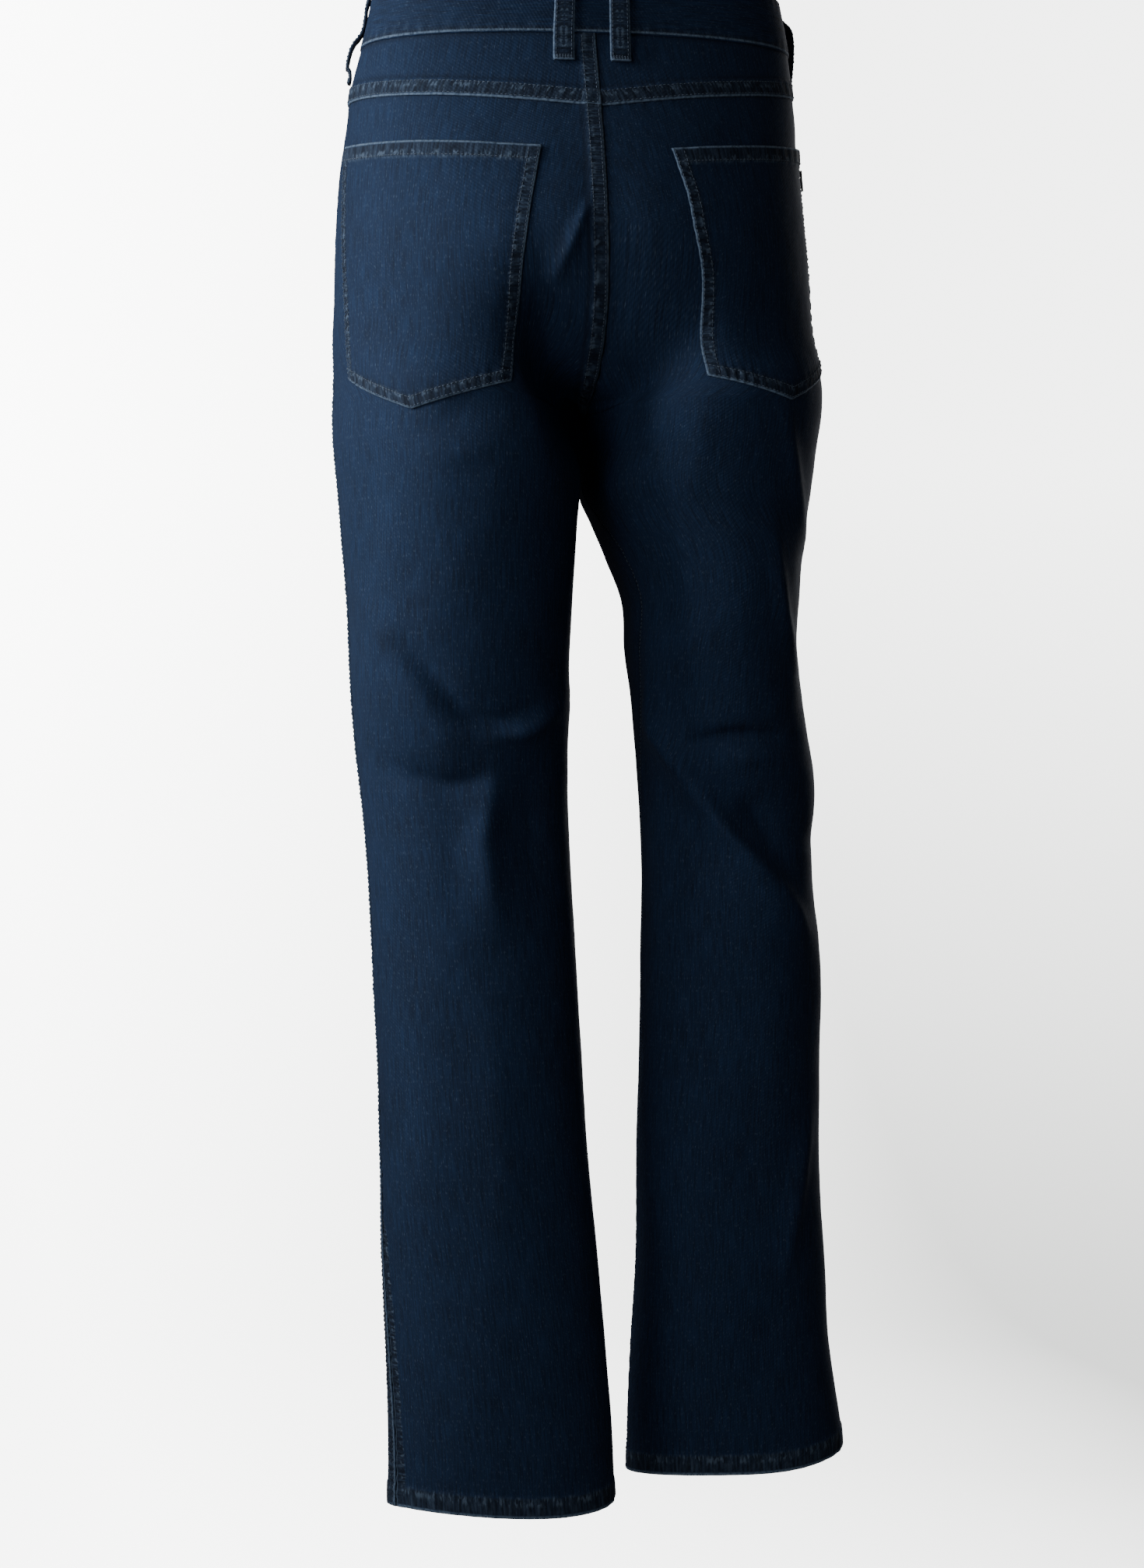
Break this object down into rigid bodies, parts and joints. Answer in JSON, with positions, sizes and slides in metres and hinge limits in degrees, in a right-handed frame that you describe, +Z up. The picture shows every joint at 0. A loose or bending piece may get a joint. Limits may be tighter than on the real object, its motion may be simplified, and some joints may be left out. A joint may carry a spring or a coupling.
{
  "type": "slim jeans, filled out with no wearer",
  "caption": "Slim five-pocket jeans in dark indigo stretch denim, held open and filled out as if worn, with nobody in them.",
  "frame": {"origin": "middle of the waistband's ring, where the wearer's waist holds the jeans up", "axes": "+Z up, along the legs' length; the front faces -Y; +X is the wearer's left"},
  "size_m": [0.3732, 0.2648, 1.0438],
  "materials": {
    "denim": "matt twill",
    "tab_cloth": "matt woven tape",
    "zip_cloth": "matt woven tape",
    "metal": "antiqued"
  },
  "bodies": {
    "root": {"back_left": "denim", "back_right": "denim", "front_left": "denim", "front_right": "denim", "yoke_left": "denim", "yoke_right": "denim", "waistband": "denim", "back_pocket_left": "denim", "back_pocket_right": "denim", "pocket_tab": "tab_cloth", "pocket_facing_left": "denim", "pocket_facing_right": "denim", "loop_back_left": "denim", "loop_back_right": "denim", "loop_side_left": "denim", "loop_side_right": "denim", "loop_front_left": "denim", "loop_front_right": "denim", "fly_flap": "denim", "zip_tape": "zip_cloth", "zip_slider": "metal", "waist_button": "metal"}
  },
  "joints": []
}
